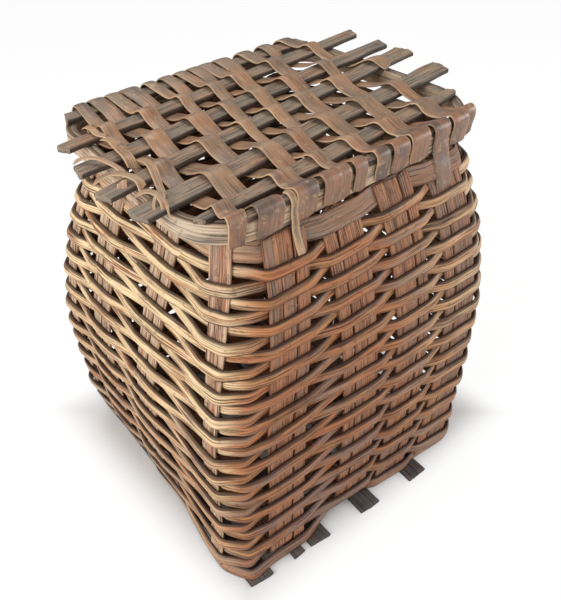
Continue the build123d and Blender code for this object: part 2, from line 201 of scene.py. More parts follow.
class Bundle:
    """Split strands, each a closed skin round a line, gathered into one piece."""

    def __init__(self):
        self.points, self.faces, self.grain, self.wear_light_and_shade = [], [], [], []
        self.count = 0

    def strand(self, path, side, width, thickness, seed, columns=9, uneven=0.06, relief=0.12 * mm,
               ragged=1.2 * mm, cup=0.0, taper=(1.0, 1.0), edge_bark_and_shade=(0.0, 0.0),
               edge_reach=0.9 * mm, bleach_and_light=0.0, age=0.5, crown=0.0):
        """Adds a strand. side is the way across its width, and its face looks along path x side.
        A crown of 1 makes it half-round, flat on the back. Taper is how thick its ends are left,
        ragged how uneven they are cut, and two numbers say how dark its two edges are, partly as bark
        and partly as painted shade."""
        taper_run, fray_run = 14 * mm, 2.5 * mm
        edge_crowding, edge_thickness = 0.72, 0.55
        dice = np.random.default_rng(seed)
        path = np.array(path, float)
        run = walked_along(path)
        ahead = unit(np.gradient(path, axis=0))
        side = np.broadcast_to(np.array(side, float), path.shape)
        side = unit(side - ahead * (side * ahead).sum(1, keepdims=True))
        face = np.cross(ahead, side)
        width = np.broadcast_to(np.array(width, float), run.shape)
        thickness = np.broadcast_to(np.array(thickness, float), run.shape)

        across = np.linspace(-1, 1, columns)
        across = np.sign(across) * np.abs(across) ** edge_crowding
        depth = np.where(np.abs(across) > 0.99, edge_thickness, 1.0)
        thin = 1 + (taper[0] - 1) * np.clip(1 - run / taper_run, 0, 1)
        thin = thin * (1 + (taper[1] - 1) * np.clip(1 - (run[-1] - run) / taper_run, 0, 1))
        low_edge = 1 + uneven * wander(run, 55 * mm, seed + 1)
        high_edge = 1 + uneven * wander(run, 60 * mm, seed + 2)
        reach = np.where(across[None] < 0, low_edge[:, None], high_edge[:, None])
        sideways = across[None] * reach * width[:, None] / 2
        ridges = np.stack([wander(run + 31 * column * mm, 70 * mm, seed + 3 + column % 5)
                           for column in range(columns)], axis=1)
        ridges = relief * (0.6 * ridges + 0.8 * dice.uniform(-1, 1, columns)[None])
        cupped = -cup * across[None] ** 2
        half = thickness[:, None] * thin[:, None] / 2
        rounded = (1 + crown) * np.sqrt(1 - 0.9 * crown * across ** 2) - crown
        bitten = dice.uniform(-1, 0, (2, columns)) * 0.35
        frayed = ragged * (bitten - 0.8 * np.abs(across[None] - dice.uniform(-1, 1, (2, 1))))
        reachout = np.zeros((len(run), columns))
        for end, step in ((0, -1), (-1, 1)):
            fall = np.exp(-np.abs(run - run[end]) / fray_run)[:, None]
            reachout += step * fall * frayed[end][None]

        skins = []
        for skin in (1, -1):
            profile = np.minimum(depth, rounded) if skin > 0 else -depth
            lift = half * profile[None] + cupped + (ridges if skin > 0 else -0.6 * ridges)
            spots = (path[:, None] + sideways[..., None] * side[:, None]
                     + lift[..., None] * face[:, None] + reachout[..., None] * ahead[:, None])
            skins.append(spots[:, ::skin])
        rings = np.concatenate(skins, axis=1)
        size = rings.shape[1]
        grain = np.zeros(rings.shape)
        grain[..., 0] = run[:, None] + dice.uniform(0, 3)
        grain[..., 1] = walked_along(rings[len(run) // 2])[None] + dice.uniform(0, 3)
        grain[..., 2] = dice.uniform(0, 50)
        inset = (1 - np.abs(across)) * width.mean() / 2
        # Edges in the bark colour: partly bark, and partly painted shade where strands meet.
        edge = np.where(across < 0, edge_bark_and_shade[0], edge_bark_and_shade[1]) * np.exp(-inset / edge_reach)
        wear_light_and_shade = np.zeros(rings.shape)
        wear_light_and_shade[..., 0] = np.broadcast_to(np.array(bleach_and_light, float), run.shape)[:, None]
        wear_light_and_shade[..., 1] = np.concatenate([edge, edge[::-1]])[None]
        wear_light_and_shade[..., 2] = np.broadcast_to(np.array(age, float), run.shape)[:, None]

        number = self.count + np.arange(len(run) * size).reshape(len(run), size)
        beside = np.roll(number, -1, axis=1)
        quads = np.stack([number[:-1], number[1:], beside[1:], beside[:-1]], axis=-1).reshape(-1, 4)
        for ring, order in ((number[0], -1), (number[-1], 1)):
            upper, lower = ring[:columns], ring[columns:][::-1]
            cap = np.stack([upper[:-1], lower[:-1], lower[1:], upper[1:]], axis=-1)
            quads = np.concatenate([quads, cap[:, ::order]])
        self.points.append(rings.reshape(-1, 3))
        self.grain.append(grain.reshape(-1, 3))
        self.wear_light_and_shade.append(wear_light_and_shade.reshape(-1, 3))
        self.faces.append(quads)
        self.count += len(run) * size

    def piece(self, name, material, body, slot, *nodes):
        """Makes the piece, which rides on a body and stands for CAD nodes. A hinge is given no body."""
        mesh = bpy.data.meshes.new(name)
        points, faces = np.concatenate(self.points), np.concatenate(self.faces)
        mesh.vertices.add(len(points))
        mesh.vertices.foreach_set("co", points.astype(np.float32).ravel())
        mesh.loops.add(faces.size)
        mesh.loops.foreach_set("vertex_index", faces.astype(np.int32).ravel())
        mesh.polygons.add(len(faces))
        mesh.polygons.foreach_set("loop_start", np.arange(0, faces.size, 4, dtype=np.int32))
        mesh.polygons.foreach_set("use_smooth", np.ones(len(faces), bool))
        mesh.update(calc_edges=True)
        for label, values in (("grain", self.grain), ("wear_light_and_shade", self.wear_light_and_shade)):
            layer = mesh.attributes.new(label, "FLOAT_VECTOR", "POINT")
            layer.data.foreach_set("vector", np.concatenate(values).astype(np.float32).ravel())
        mesh.materials.append(material)
        made = bpy.data.objects.new(name, mesh)
        bpy.context.scene.collection.objects.link(made)
        if body:
            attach(made, body)
        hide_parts(*nodes)
        return made


base_half_depth = 117.2 * mm
base_centre = np.array([-13.9, -1.5]) * mm
base_turn = -4.7
slat_thickness = 3.0 * mm
slat_worn = 0.4 * mm                # of their thickness
slat_overhang = 13.6 * mm
back_shortfall = 4.0 * mm           # of the ends behind the back wall
slat_places = np.array([-100.0, -64.0, -43.0, 10.0, 64.0]) * mm
slat_widths = np.array([20.0, 11.0, 20.0, 20.0, 20.0]) * mm

dark_slat = splint_finish("dark_slat", pale=(0.105, 0.088, 0.078), deep=(0.032, 0.027, 0.026),
                          ruddy=(0.12, 0.075, 0.055), grey=(0.085, 0.08, 0.08),
                          bark=(0.012, 0.010, 0.010), bleached_and_lit=(0.20, 0.17, 0.15),
                          streak_width=1.5 * mm)


def turned(x, y, degrees):
    """A point of the plan, turned about the origin."""
    angle = radians(degrees)
    return np.array([x * cos(angle) - y * sin(angle), x * sin(angle) + y * cos(angle)])


for number, (place, width) in enumerate(zip(slat_places, slat_widths)):
    end = base_half_depth + slat_overhang
    run = np.linspace(-end, end - back_shortfall, 60)
    plan = np.array([base_centre + turned(place, y, base_turn) for y in run])
    waver = 0.05 * mm * wander(run, 60 * mm, 900 + number)
    slat = Bundle()
    slat.strand(np.column_stack([plan, slat_thickness / 2 + waver]), (-1, 0, 0), width,
                slat_thickness - slat_worn, seed=40 * number + 7, columns=13, uneven=0.03,
                relief=0.08 * mm, ragged=0.8 * mm, edge_bark_and_shade=(0.5, 0.5), bleach_and_light=0.25)
    slat.piece(f"base_slat_{number + 1}", dark_slat, "basket", "dark_slat",
               f"base_runner_{number + 1}")

# ---- Stakes ----
# The uprights are wide flat splints of open-grained wood. Each starts at the rim, runs down the
# wall, crosses under the bottom and climbs the wall opposite, so the front ones and the side
# ones cross in the base. They stand in pairs, a wide one and a narrow one, and split as they dry.
stake_top = 282.0 * mm
base_half_length, belly_half_length, rim_half_length = 114.7 * mm, 130.1 * mm, 110.7 * mm
belly_height = 140.0 * mm
lower_swell, upper_swell, depth_swell = 1.12, 1.53, 4.42
rim_half_depth = 86.4 * mm
base_corner_radius, rim_corner_radius = 17.0 * mm, 39.6 * mm
rim_centre = np.array([-2.9, -2.5]) * mm
stake_thickness = 1.8 * mm
stake_gap = 1.5 * mm
wide, medium, slim, narrow = 21.0 * mm, 14.0 * mm, 11.0 * mm, 10.0 * mm
front_places = ((-0.72, -0.61), (-0.30, -0.03), (0.19, 0.37), (0.65, 0.77))
side_places = ((-0.88, -0.84), (-0.35, -0.09), (0.38, 0.39), (0.77, 0.83))
front_pairs = ((wide, narrow), (narrow, wide), (wide, narrow), (narrow, wide))
side_pairs = ((medium,), (narrow, slim), (slim, narrow), (slim,))
foot_bend = 9.0 * mm


def share_at(place, z):
    """Place of a pair along its wall at a height, from -1 to 1. Most of its lean is high up."""
    rim, base = place
    return base + (rim - base) * (z / stake_top) ** 2


# How much rounder the corners are at the foot, from the one between the left and front walls round
# to the one between the back and left walls. The first is sharper, up to the shoulder.
corner_easing = np.array([-3.0, 4.0, 4.0, 14.0]) * mm
easing_height = 115 * mm
sharper, shoulder, shoulder_run = 8 * mm, 250 * mm, 70 * mm
# The foot of the wall is drawn in, but its near corner is pulled out: walls walked past, and how far.
foot_places = (0.0, 0.15, 0.3, 0.5, 0.8, 0.93, 1.0, 1.12, 1.3, 2.0, 2.7, 3.0, 3.3, 3.6, 3.85, 4.0)
foot_pulls = np.array([12, 6, 1, -2, -1, 3, 8, 0, -5, -5, -6, -10, -11, -7, 4, 12]) * mm
foot_height = 52 * mm


def wall_size(corner, z):
    """Half length and half depth of the wall at a height, and the radius of one of its corners."""
    below = np.clip((belly_height - z) / belly_height, 0, 1) ** lower_swell
    above = np.clip((z - belly_height) / (stake_top - belly_height), 0, 1) ** upper_swell
    half_length = (belly_half_length - (belly_half_length - base_half_length) * below
                   - (belly_half_length - rim_half_length) * above)
    height = np.clip(z / stake_top, 0, None)
    half_depth = base_half_depth - (base_half_depth - rim_half_depth) * height ** depth_swell
    radius = base_corner_radius + (rim_corner_radius - base_corner_radius) * height ** 2
    radius = radius + corner_easing[corner] * np.clip(1 - z / easing_height, 0, 1)
    sharpened = sharper * np.clip((shoulder - z) / shoulder_run, 0, 1)
    radius = radius - np.where(corner == 0, sharpened, 0)
    return half_length, half_depth, radius


def wall(turns, z):
    """Points on the wall, the ways along it and the ways outward. Turns counts the walls walked
    past: front 0-1, right 1-2, back 2-3 and left 3-4. z is the height of each point."""
    turns, z = np.broadcast_arrays(np.array(turns, float), np.array(z, float))
    side_number = np.floor(turns)
    share = 2 * (turns - side_number) - 1
    half_length, half_depth, radius = wall_size((side_number + (share > 0)).astype(int) % 4, z)
    odd = side_number % 2 == 1
    along, out = np.where(odd, half_depth, half_length), np.where(odd, half_length, half_depth)
    flat = along - radius
    run = share * (flat + radius * pi / 4)
    bend = np.sign(run) * np.clip(np.abs(run) - flat, 0, None) / radius
    u = np.sign(run) * np.minimum(np.abs(run), flat) + radius * np.sin(bend)
    v = out - radius + radius * np.cos(bend)
    rise = 1 - z / stake_top
    turn = np.radians(90 * side_number + base_turn * rise)
    lean = rim_centre[:, None] + (base_centre - rim_centre)[:, None] * rise.ravel()[None]
    x = lean[0].reshape(z.shape) + u * np.cos(turn) + v * np.sin(turn)
    y = lean[1].reshape(z.shape) + u * np.sin(turn) - v * np.cos(turn)
    way = turn + bend
    tangent = np.stack([np.cos(way), np.sin(way), 0 * way], axis=-1)
    outward = np.stack([np.sin(way), -np.cos(way), 0 * way], axis=-1)
    foot = np.clip(1 - z / foot_height, 0, 1) ** 1.5
    pull = np.interp(turns % 4, foot_places, foot_pulls) * foot
    return np.stack([x, y, z], axis=-1) + outward * pull[..., None], tangent, outward


stake_splint = splint_finish("stake_splint", pale=(0.62, 0.285, 0.140), deep=(0.13, 0.050, 0.028),
                             ruddy=(0.47, 0.180, 0.088), grey=(0.29, 0.185, 0.140),
                             bark=(0.024, 0.011, 0.008), bleached_and_lit=(0.66, 0.47, 0.31),
                             streak_width=0.9 * mm, contrast=1.2, crack_depth=1.2)


def faded_and_lit(outward):
    """How bleached a strand is. The left wall, which faces the key lamp, has faded most, and this bleaching
    also paints in part of the light on it.
    """
    return 0.08 + 0.9 * np.clip(-outward[..., 0], 0, 1) ** 3


def climb(face_number, place, nudge, lowest):
    """One climb of a stake from its foot to the rim, with the ways across it and outward."""
    z = np.linspace(lowest, stake_top, 66)
    spot, tangent, outward = wall(face_number + (share_at(place, z) + 1) / 2, z)
    return spot + tangent * nudge, tangent, outward


for face_number, (kind, places, pairs) in enumerate((("front", front_places, front_pairs),
                                                     ("side", side_places, side_pairs))):
    layer = slat_thickness + stake_thickness * (0.5 if kind == "side" else 1.5)
    count = 0
    for place, widths in zip(places, pairs):
        edge = -(sum(widths) + stake_gap * (len(widths) - 1)) / 2
        for width in widths:
            nudge = edge + width / 2
            edge += width + stake_gap
            count += 1
            near, near_across, near_out = climb(face_number, place, nudge, foot_bend + layer)
            far, far_across, far_out = climb(face_number + 2, (-place[0], -place[1]), -nudge,
                                             foot_bend + layer)
            feet = []
            for spot, out in ((near[0], near_out[0]), (far[0], far_out[0])):
                feet.append([spot + foot_bend * (out * (cos(angle) - 1) - np.array([0, 0, 1]) * sin(angle))
                             for angle in np.linspace(0, pi / 2, 7)[1:]])
            under = np.linspace(feet[0][-1], feet[1][-1], 60)[1:-1]
            path = np.concatenate([near[::-1], feet[0], under, feet[1][::-1], far])
            lying = (len(path) - len(near) - len(far), 1)
            across = np.concatenate([near_across[::-1], np.tile(near_across[0], lying), -far_across])
            outward = np.concatenate([near_out[::-1], np.tile(near_out[0], lying), far_out])
            stake = Bundle()
            # Stakes on the left wall are bleached most, which also paints in light where they face the key
            # lamp.
            stake.strand(path, across, width, stake_thickness, seed=100 + 40 * count + 1000 * face_number,
                         columns=15, uneven=0.035, relief=0.16 * mm, ragged=2.2 * mm,
                         edge_bark_and_shade=(0.25, 0.25), bleach_and_light=faded_and_lit(outward),
                         age=0.3 + 0.9 * np.clip(path[:, 0] / (100 * mm), 0, 1))
            stake.piece(f"{kind}_splint_{count}", stake_splint, "basket", "stake_splint",
                        f"{kind}_stake_{count}")

# ---- Weavers ----
# The wall is woven row by row with split vine, about 9 mm high and 3 mm thick, flat inside and
# rounded outside. Each row goes outside one pair of stakes and inside the next, the next row the
# other way about, and its end is lapped inside its beginning. Their edges are painted dark, partly
# for the bark left on them and partly as painted shade between the rows.
row_count = 29
lowest_row, highest_row = 10.9 * mm, 262.3 * mm
row_crowding = 0.115
rows_per_band = 3
bow_out, bow_in = 3.0 * mm, 2.8 * mm
round_points = 460                  # points of a row that is walked round once
lap_points, lap_bend = 16, 8        # and those of its lap, with the first ones bending inward
lap_depth, lap_drop = 3.0 * mm, 1.0 * mm
lap_places = (0.62, 0.80, 0.45, 0.68, 0.86, 0.50, 0.74, 0.56, 0.92, 0.40)
point_step = 2.0 * mm
row_swing, row_sink = 0.5 * mm, 0.7 * mm
row_fill, row_waver = 0.985, 0.05   # share of its pitch that a row fills, and how that varies
row_thickness = ((30 * mm, 150 * mm), (2.6 * mm, 3.3 * mm))     # heights, and the thickness there
lowest_row_height = 11.6 * mm       # the lowest row is a wide one, set down to the stakes' bends
lowest_row_drop = 1.6 * mm
pair_room = 1.0 * mm
near_corner = np.array([-135.0, -118.0]) * mm
near_reach = 45 * mm                # round the near corner the lowest rows sag
near_sag, near_sag_step = 2.8 * mm, 0.5 * mm

weaver_rod = splint_finish("weaver_rod", pale=(0.66, 0.290, 0.100), deep=(0.105, 0.033, 0.015),
                           ruddy=(0.46, 0.130, 0.040), grey=(0.27, 0.175, 0.140),
                           bark=(0.028, 0.013, 0.011), bleached_and_lit=(0.88, 0.655, 0.375),
                           streak_width=1.3 * mm, gloss=0.27, contrast=1.05, patches=(20.0, 130.0))


def pair_stops(height):
    """The middles of the pairs along each wall at a height, and half their widths with room."""
    stops = []
    for places, pairs in ((front_places, front_pairs), (side_places, side_pairs)):
        shares = np.array([share_at(place, height) for place in places])
        spans = np.array([sum(widths) + stake_gap * (len(widths) - 1) for widths in pairs])
        stops.append((shares, spans / 2 + pair_room))
    return stops + [(-shares[::-1], halves[::-1]) for shares, halves in stops]


def woven_line(z, phase, out, inside, softness=2.8 * mm, kept_inside=()):
    """A closed line that passes outside and inside the pairs in turn, straight beside each pair,
    with the ways up the wall and outward beside it. The pairs kept inside are numbered with four
    to a wall."""
    lines = []
    for height in (z, z + 1.0 * mm):
        half_length, half_depth, radii = wall_size(np.arange(4), height)
        lengths = (half_length, half_depth) * 2
        bends = radii * (1 - pi / 4)
        stops = pair_stops(height)
        turns, nudges, swings = [], [], []
        for side, (shares, halves) in enumerate(stops):
            for number, (share, half) in enumerate(zip(shares, halves)):
                held = (number + phase) % 2 == 1 or 4 * side + number in kept_inside
                turns += [side + (share + 1) / 2] * 2
                nudges += [-half, half]
                swings += [-inside if held else out] * 2
            following = (side + 1) % 4
            next_shares, next_halves = stops[following]
            run_before = lengths[side] - bends[following]
            run_after = lengths[following] - bends[following]
            behind = run_before * (1 - shares[-1]) - halves[-1]
            ahead = run_after * (1 + next_shares[0]) - next_halves[0]
            turns.append(side + 1 + (ahead - behind) / 4 / run_before)
            nudges.append(0.0)
            swings.append(0.0)
        spot, tangent, outward = wall(np.array(turns) % 4, height)
        lines.append(spot + tangent * np.array(nudges)[:, None] + outward * np.array(swings)[:, None])
    knots, above, outward = (np.concatenate([line, line[:1]]) for line in (*lines, outward))
    run = walked_along(knots)
    even, step = np.linspace(0, run[-1], round_points, endpoint=False, retstep=True)
    reach = int(3 * softness / step)
    bell = np.exp(-0.5 * (np.arange(-reach, reach + 1) * step / softness) ** 2)
    smooth = []
    for line in (knots, above, outward):
        plain = [np.interp(even, run, line[:, axis]) for axis in range(3)]
        smooth.append(np.stack([np.convolve(np.concatenate([row[-reach:], row, row[:reach]]),
                                            bell / bell.sum(), "valid") for row in plain], axis=1))
    path, above, outward = smooth
    return path, unit(above - path), unit(outward)


def row_middle(index):
    """The height of a row's middle. The rows lie closer together towards the rim."""
    share = index / (row_count - 1)
    return lowest_row + (highest_row - lowest_row) * (share + row_crowding * share * (1 - share))


for first in range(0, row_count, rows_per_band):
    rows = Bundle()
    for index in range(first, min(first + rows_per_band, row_count)):
        seed = 3000 + 50 * index
        phase = (row_count - 1 - index) % 2
        path, up, outward = woven_line(row_middle(index), phase, bow_out, bow_in)
        begin = int(lap_places[index % len(lap_places)] * round_points)
        steps = np.arange(round_points + lap_points)
        order = (begin + steps) % round_points
        path, up, outward = path[order], up[order], outward[order]
        run = steps * point_step
        lapped = np.clip((steps - round_points) / lap_bend, 0, 1)
        inward = lap_depth * lapped - row_swing * wander(run, 80 * mm, seed)
        rise = row_sink * wander(run, 130 * mm, seed + 9) - lap_drop * lapped
        path = path - outward * inward[:, None] + up * rise[:, None]
        z = path[:, 2]
        pitch = row_middle(index + 0.5) - row_middle(index - 0.5)
        height = pitch * (row_fill + row_waver * wander(run, 190 * mm, seed + 5))
        thickness = np.interp(z, *row_thickness)
        near = np.exp(-(np.linalg.norm(path[:, :2] - near_corner, axis=1) / near_reach) ** 2)
        if index == 0:
            path, height = path - up * lowest_row_drop, lowest_row_height
        path[:, 2] -= near * max(near_sag - index * near_sag_step, 0)
        # Rows towards the right are painted lighter, partly bleaching and partly painted light from the
        # right; low down the rows are less bleached, so darker towards the bottom.
        fading_and_light = faded_and_lit(outward) + 0.6 * np.clip(path[:, 0] / (100 * mm), 0, 1)
        fading_and_light = fading_and_light * np.clip(0.35 + (z - 60 * mm) / (200 * mm), 0.35, 1)
        # The edges of each row are darkened partly as bark and partly as painted shade where the rows meet.
        rows.strand(path, up, height, thickness, seed, columns=11, uneven=0.04, relief=0.15 * mm,
                    ragged=1.0 * mm, taper=(0.35, 0.35), edge_bark_and_shade=(0.8, 1.5),
                    edge_reach=1.0 * mm, bleach_and_light=fading_and_light,
                    age=0.2 + 0.9 * np.clip(1 - z / (95 * mm), 0, 1), crown=0.8)
    number = first // rows_per_band + 1
    rows.piece(f"weaving_{number}", weaver_rod, "basket", "weaver_rod", f"weaver_rows_{number}")

# ---- Rim splint ----
# One flat splint, wider than a weaver, closes the weave under the lid. It is woven in like the
# rows below it, and its ends are lapped behind the stakes of the back wall.
band_height = 14.4 * mm
band_middle = stake_top - 0.4 * mm - band_height / 2
band_thickness = 1.5 * mm
band_bow = 2.0 * mm
band_lap_points, band_lap_depth = 14, 1.8 * mm
near_corner_stake = 15              # the last on the left wall, which the band passes inside
rim_splint = splint_finish("rim_splint", pale=(0.40, 0.22, 0.13), deep=(0.20, 0.095, 0.058),
                           ruddy=(0.36, 0.16, 0.085), grey=(0.27, 0.20, 0.16),
                           bark=(0.05, 0.028, 0.022), bleached_and_lit=(0.62, 0.42, 0.25),
                           streak_width=1.4 * mm, gloss=0.12)
path, up, outward = woven_line(band_middle, 1, band_bow, band_bow, kept_inside=(near_corner_stake,))
order = (round_points // 2 + np.arange(round_points + band_lap_points)) % round_points
path, up, outward = path[order], up[order], outward[order]
path[round_points:] -= band_lap_depth * outward[round_points:]
band = Bundle()
# The band is bleached most on the left wall, which also paints in light where it faces the key lamp.
band.strand(path, up, band_height, band_thickness, seed=5003, columns=11, uneven=0.03,
            relief=0.1 * mm, ragged=1.5 * mm, edge_bark_and_shade=(0.4, 0.6), bleach_and_light=faded_and_lit(outward))
band.piece("rim_splint", rim_splint, "basket", "rim_splint", "rim_band")

# ---- Hoops of the lid ----
# Two thin bent staves, one inside the other, make the lid's hoop. They were steamed round four
# easy corners, wider to the front than to the back, and are grey and dark with handling. The
# bark strips bind them together.
lid_bottom = stake_top + 0.3 * mm
lid_front = rim_centre[1] - rim_half_depth - 1.2 * mm
lid_back = rim_centre[1] + rim_half_depth + 12.6 * mm
# The left and right sides of the lid, each at its front and at its back end.
lid_left = rim_centre[0] - rim_half_length - np.array([18.4, 7.4]) * mm
lid_right = rim_centre[0] + rim_half_length + np.array([20.2, 7.2]) * mm
lid_corners = np.array([(lid_left[0], lid_front), (lid_right[0], lid_front),
                        (lid_right[1], lid_back), (lid_left[1], lid_back)])
lid_radii = np.array([40.0, 50.0, 28.0, 28.0]) * mm
hoop_thickness = 3.4 * mm
hoop_gap = 0.2 * mm
hoop_height = 14.7 * mm
hoop_top = lid_bottom + hoop_height
hoop_worn, hoop_thinned = 0.6 * mm, 0.15 * mm
hoop_joints = (0.55, 0.33)          # shares of the way round at which each hoop's ends meet
lid_hoop = splint_finish("lid_hoop", pale=(0.40, 0.26, 0.165), deep=(0.10, 0.066, 0.048),
                         ruddy=(0.34, 0.17, 0.09), grey=(0.13, 0.125, 0.118),
                         bark=(0.030, 0.022, 0.019), bleached_and_lit=(0.92, 0.70, 0.48),
                         streak_width=1.3 * mm, gloss=0.12, crack_depth=0.5, patches=(22.0, 80.0))


def hoop_line(inset, begin, count=320):
    """Points round the hoop's outline drawn in by inset, from some share of the way round."""
    ways = unit(np.roll(lid_corners, -1, axis=0) - lid_corners)
    inward = np.column_stack([-ways[:, 1], ways[:, 0]])
    line = []
    for index, (corner, full_radius) in enumerate(zip(lid_corners, lid_radii)):
        back, ahead = ways[index - 1], ways[index]
        radius = full_radius - inset
        centre = corner + full_radius * (inward[index - 1] + inward[index]) / (1 + back @ ahead)
        for angle in np.linspace(0, np.arccos(back @ ahead), 14):
            line.append(centre + radius * (back * sin(angle) - inward[index - 1] * cos(angle)))
    line = np.array(line + line[:1])
    run = walked_along(line)
    walked = (begin + np.linspace(0, 0.9975, count)) % 1 * run[-1]
    x, y = (np.interp(walked, run, line[:, axis]) for axis in (0, 1))
    return np.column_stack([x, y, 0 * walked])


for number, (name, inset) in enumerate((("outer", 0.0), ("inner", hoop_thickness + hoop_gap))):
    path = hoop_line(inset + hoop_thickness / 2, hoop_joints[number])
    path[:, 2] = lid_bottom + hoop_height / 2 + 0.15 * mm
    hoop = Bundle()
    hoop.strand(path, (0, 0, 1), hoop_height - hoop_worn, hoop_thickness - hoop_thinned,
                seed=5100 + 30 * number, columns=11, uneven=0.02, relief=0.1 * mm,
                ragged=0.5 * mm, edge_bark_and_shade=(0.1, 0.6), bleach_and_light=0.6)
    hoop.piece(f"lid_bow_{name}", lid_hoop, "lid", "lid_hoop", f"lid_hoop_{name}")

# ---- Staves of the lid ----
# Seven split slats lie along the lid on top of the hoop, the first on its front side and the
# last on its back side. They are sawn and snapped to length, so most stand past the hoop at one
# end or both, and their ends are chewed. Their split sides are dark.
stave_thickness = 4.0 * mm
stave_top = hoop_top + stave_thickness
stave_worn, stave_waver = 0.2 * mm, 0.4 * mm
# Each stave is not quite straight: the places along and across the lid where it was set, and its
# width there.
stave_lines = [np.array(line) * mm for line in (
    ((-103.6, -86.8), (91.6, -86.8)),
    ((-126.5, -73.0), (-38.0, -67.0), (68.0, -61.0), (120.0, -55.8)),
    ((-149.5, -46.5), (-65.0, -40.0), (2.0, -33.0), (127.0, -24.0), (150.0, -22.3)),
    ((-153.5, -17.0), (-50.0, -4.4), (42.0, 5.6), (85.0, 10.5), (153.5, 18.1)),
    ((-149.0, 17.5), (-73.0, 22.8), (15.0, 30.5), (110.0, 38.0), (152.0, 41.3)),
    ((-141.0, 50.0), (-15.0, 58.0), (73.0, 66.6), (118.0, 70.0), (151.0, 72.6)),
    ((-118.0, 87.0), (105.0, 87.0)),
)]
stave_widths = [np.array(widths) * mm for widths in (
    (6.6, 6.6),
    (6.0, 14.5, 14.0, 8.0),
    (16.0, 18.0, 17.0, 17.5, 17.0),
    (12.0, 13.5, 13.5, 14.0, 18.0),
    (13.0, 15.0, 14.5, 14.0, 13.0),
    (10.0, 13.5, 13.0, 13.0, 12.0),
    (11.0, 13.0),
)]
lid_stave = splint_finish("lid_stave", pale=(0.47, 0.300, 0.200), deep=(0.095, 0.062, 0.046),
                          ruddy=(0.42, 0.200, 0.105), grey=(0.15, 0.138, 0.122),
                          bark=(0.020, 0.014, 0.012), bleached_and_lit=(0.56, 0.42, 0.28),
                          streak_width=1.1 * mm, gloss=0.14, crack_depth=0.6, patches=(24.0, 60.0))


def stave_y(index, x):
    """Where the middle of a stave lies, across the lid, at x."""
    line = stave_lines[index]
    return np.interp(x, line[:, 0], line[:, 1])


def stave_width(index, x):
    return np.interp(x, stave_lines[index][:, 0], stave_widths[index])


for index, line in enumerate(stave_lines):
    x = np.linspace(line[0, 0], line[-1, 0], 140)
    path = np.column_stack([x, stave_y(index, x), np.full(x.shape, hoop_top + stave_thickness / 2)])
    path[:, 1] += stave_waver * wander(x, 90 * mm, 5250 + index)
    stave = Bundle()
    stave.strand(path, (0, 1, 0), stave_width(index, x), stave_thickness - stave_worn,
                 seed=5200 + 30 * index, columns=15, uneven=0.05, relief=0.16 * mm,
                 ragged=3.5 * mm, edge_bark_and_shade=(0.7, 0.7), bleach_and_light=0.4, age=0.9)
    stave.piece(f"lid_slat_{index + 1}", lid_stave, "lid", "lid_stave", f"lid_stave_{index + 1}")

# ---- Bark strips of the lid ----
# Strips of inner bark are woven across the staves, over one and under the next, and wrapped over
# the hoop at the front and the back. They fan out to the front, and dried into stiff arches with
# pale, curled edges. Two at the ends were cut short, and one runs on over the rim as a hinge.
strip_thickness = 1.1 * mm
# The place and width of each strip at the front and at the back of the lid, from left to right.
strip_front_x = np.array([-119.3, -110.0, -88.0, -58.0, -38.5, -26.5, -14.0,
                          6.0, 23.0, 43.0, 64.0, 84.0, 98.5, 144.1]) * mm
strip_back_x = np.array([-110.3, -101.0, -88.5, -76.5, -62.0, -45.0, -30.0,
                         -17.5, -6.0, 6.0, 21.0, 43.0, 65.0, 85.0]) * mm
strip_front_width = np.array([6.0, 13.0, 18.5, 16.5, 14.0, 9.0, 11.0,
                              12.0, 15.5, 18.5, 16.0, 16.5, 11.5, 11.0]) * mm
strip_back_width = np.array([6.0, 9.0, 12.0, 10.5, 13.5, 8.5, 10.0,
                             9.5, 10.0, 11.0, 13.0, 12.0, 10.5, 11.0]) * mm
last_strip = len(strip_front_x) - 1
last_stave = len(stave_lines) - 1
short_strips = {0: (3, 5), last_strip: (3, last_stave)}    # with the first and last stave of each
hinge_strip = 10
strip_room = 0.25 * mm
strip_seat = strip_thickness / 2 + strip_room
arch, sag = 3.6 * mm, 0.8 * mm      # of a strip over one stave and under the next
cut_tail, bent_down = 4.0 * mm, 1.5 * mm
# The wraps, up the front and down the back: how far backward from the seat on the hoop, and how
# high.
front_wrap = ((0.0, lid_bottom + 0.5 * mm), (-0.6 * mm, hoop_top - 6 * mm),
              (-1.6 * mm, stave_top - 1.0 * mm), (0.1 * mm, stave_top + 2.8 * mm),
              (4.0 * mm, stave_top + strip_seat + 3.4 * mm))
back_wrap = ((-3.0 * mm, stave_top + strip_seat + 1.5 * mm), (0.5 * mm, stave_top - 2.0 * mm),
             (0.3 * mm, hoop_top - 6 * mm), (0.0, lid_bottom + 1.5 * mm))
# The first strip's far end curls up: how far past its last knot, and how high above the hoop.
curl = ((3.0 * mm, 2.5 * mm), (4.5 * mm, 5.5 * mm), (2.5 * mm, 6.5 * mm))
bark_strip = splint_finish("bark_strip", pale=(0.56, 0.325, 0.205), deep=(0.190, 0.103, 0.063),
                           ruddy=(0.38, 0.152, 0.068), grey=(0.105, 0.078, 0.064),
                           bark=(0.66, 0.45, 0.26), bleached_and_lit=(0.66, 0.44, 0.25),
                           streak_width=0.8 * mm, gloss=0.36, contrast=0.5, crack_depth=0.06,
                           patches=(36.0, 50.0), shine=0.6)

